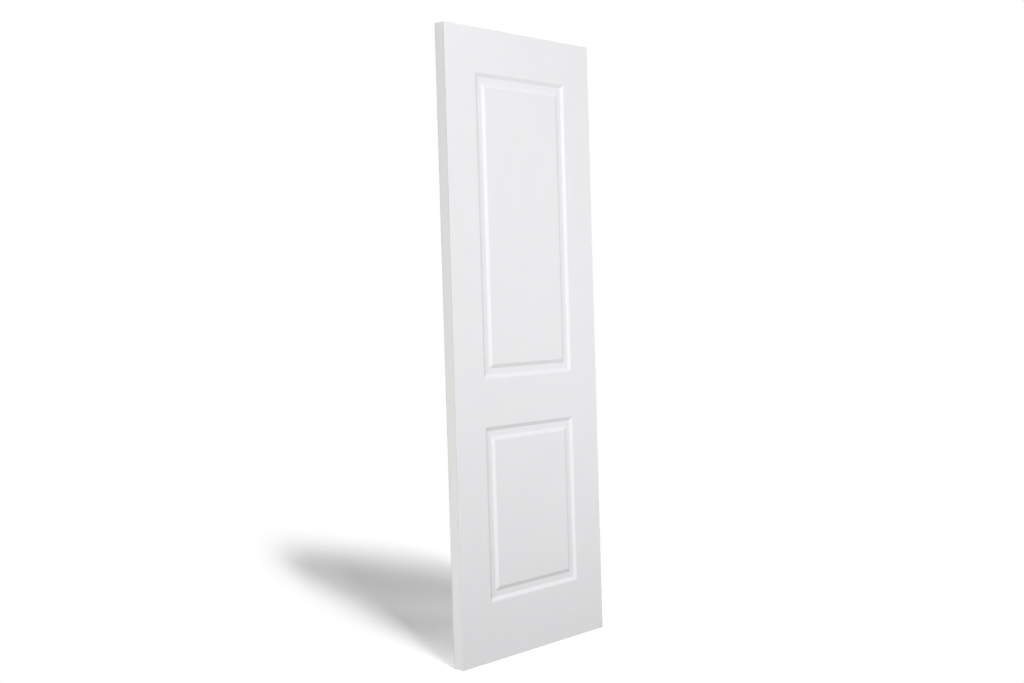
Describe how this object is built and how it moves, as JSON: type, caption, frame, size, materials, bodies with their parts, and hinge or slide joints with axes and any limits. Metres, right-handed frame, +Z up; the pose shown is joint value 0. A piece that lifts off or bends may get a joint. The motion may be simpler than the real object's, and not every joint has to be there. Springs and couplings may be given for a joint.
{
  "type": "interior door leaf",
  "caption": "White primed interior door leaf with a moulded raised panel above and below the lock rail on both faces, blank edges ready for hinges and a latch.",
  "frame": {"origin": "on the hinge edge, at the bottom of the leaf and halfway through its thickness", "axes": "+X from the hinge edge to the lock edge, +Y from the front face to the back face, +Z up"},
  "size_m": [0.726, 0.04, 2.04],
  "materials": {
    "primed_skin": "pressed fibreboard, white primed, satin",
    "primed_softwood": "softwood edge, white primed, satin",
    "bare_softwood": "bare softwood, sawn",
    "core_paper": "kraft paper cells"
  },
  "bodies": {
    "root": {"front_skin": "primed_skin", "back_skin": "primed_skin", "hinge_stile": "primed_softwood", "lock_stile": "primed_softwood", "top_rail": "primed_softwood", "bottom_rail": "primed_softwood", "hinge_side_block": "bare_softwood", "lock_side_block": "bare_softwood", "core": "core_paper"}
  },
  "joints": []
}
